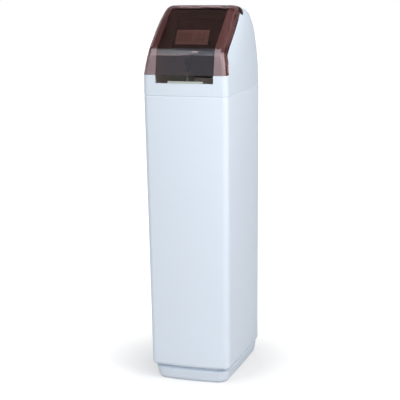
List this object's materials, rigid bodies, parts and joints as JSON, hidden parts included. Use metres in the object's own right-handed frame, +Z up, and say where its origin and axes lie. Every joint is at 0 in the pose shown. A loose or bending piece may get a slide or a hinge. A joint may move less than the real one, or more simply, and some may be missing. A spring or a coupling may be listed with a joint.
{
  "type": "water softener",
  "caption": "Slim cabinet water softener: white moulded salt cabinet with a flip-up smoked lid, round a resin vessel with control valve, brine well and float.",
  "frame": {"origin": "middle of the footprint on the floor", "axes": "+Z up, +X to the right seen from the front, +Y to the back"},
  "size_m": [0.265, 0.372, 1.13],
  "materials": {
    "cabinet_white": "satin moulded white",
    "hood_white": "satin moulded white",
    "smoked_clear": "polished, see-through brown",
    "wound_fibre": "resin wound fibre",
    "black_plastic": "fine texture",
    "head_plastic": "fine texture",
    "panel_plastic": "smooth",
    "window_plastic": "clear dark",
    "button_plastic": "smooth",
    "white_plastic": "smooth",
    "resin_amber": "fine beads",
    "seal_rubber": "smooth",
    "disc_ceramic": "lapped",
    "motor_case": "plain",
    "turbine_plastic": "smooth",
    "tube_plastic": "translucent",
    "well_plastic": "smooth",
    "float_plastic": "smooth"
  },
  "bodies": {
    "unit": {"cabinet": "cabinet_white", "hood": "hood_white", "vessel": "wound_fibre", "vessel_boot": "black_plastic", "resin_bed": "resin_amber", "riser_tube": "white_plastic", "bottom_strainer": "white_plastic", "top_strainer": "white_plastic", "valve_body": "black_plastic", "neck_seal": "seal_rubber", "fixed_disc": "disc_ceramic", "drive_motor": "motor_case", "head_base": "head_plastic", "head_cover": "head_plastic", "front_panel": "panel_plastic", "display_window": "window_plastic", "power_socket": "black_plastic", "inlet_connector": "black_plastic", "outlet_connector": "black_plastic", "drain_elbow": "black_plastic", "brine_elbow": "black_plastic", "brine_tube": "tube_plastic", "brine_well": "well_plastic", "float_valve": "white_plastic", "overflow_elbow": "black_plastic"},
    "lid": {"lid": "smoked_clear"},
    "rotor": {"drive_gear": "white_plastic", "moving_disc": "disc_ceramic"},
    "pinion": {"motor_pinion": "white_plastic"},
    "turbine": {"flow_turbine": "turbine_plastic"},
    "float": {"float": "float_plastic"},
    "well_cap": {"well_cap": "well_plastic"},
    "button_1": {"button_1": "button_plastic"},
    "button_2": {"button_2": "button_plastic"},
    "button_3": {"button_3": "button_plastic"},
    "button_4": {"button_4": "button_plastic"}
  },
  "joints": [
    {"name": "lid_hinge", "type": "hinge", "parent": "unit", "child": "lid", "pos_m": [0, 0.00813, 1.116], "axis": [-1, 0, 0], "range_deg": [0, 95]},
    {"name": "gear_turn", "type": "hinge", "parent": "unit", "child": "rotor", "pos_m": [0, 0.062, 1.012], "axis": [0, 0, 1], "continuous": true},
    {"name": "pinion_turn", "type": "hinge", "parent": "unit", "child": "pinion", "pos_m": [-0.03224, 0.02976, 1.012], "axis": [0, 0, 1], "continuous": true},
    {"name": "turbine_spin", "type": "hinge", "parent": "unit", "child": "turbine", "pos_m": [0.032, 0.119, 0.9565], "axis": [0, 1, 0], "continuous": true},
    {"name": "float_rise", "type": "slide", "parent": "unit", "child": "float", "axis": [0, 0, 1], "range_m": [0, 0.14]},
    {"name": "cap_lift", "type": "slide", "parent": "unit", "child": "well_cap", "axis": [0, 0, 1], "range_m": [0, 0.05]},
    {"name": "button_1_press", "type": "slide", "parent": "unit", "child": "button_1", "axis": [0, 0.8493, -0.5279], "range_m": [0, 0.0012], "stiffness_N_per_m": 400},
    {"name": "button_2_press", "type": "slide", "parent": "unit", "child": "button_2", "axis": [0, 0.8493, -0.5279], "range_m": [0, 0.0012], "stiffness_N_per_m": 400},
    {"name": "button_3_press", "type": "slide", "parent": "unit", "child": "button_3", "axis": [0, 0.8493, -0.5279], "range_m": [0, 0.0012], "stiffness_N_per_m": 400},
    {"name": "button_4_press", "type": "slide", "parent": "unit", "child": "button_4", "axis": [0, 0.8493, -0.5279], "range_m": [0, 0.0012], "stiffness_N_per_m": 400}
  ],
  "couplings": [
    {"joint": "pinion_turn", "follows": "gear_turn", "ratio": -4}
  ]
}
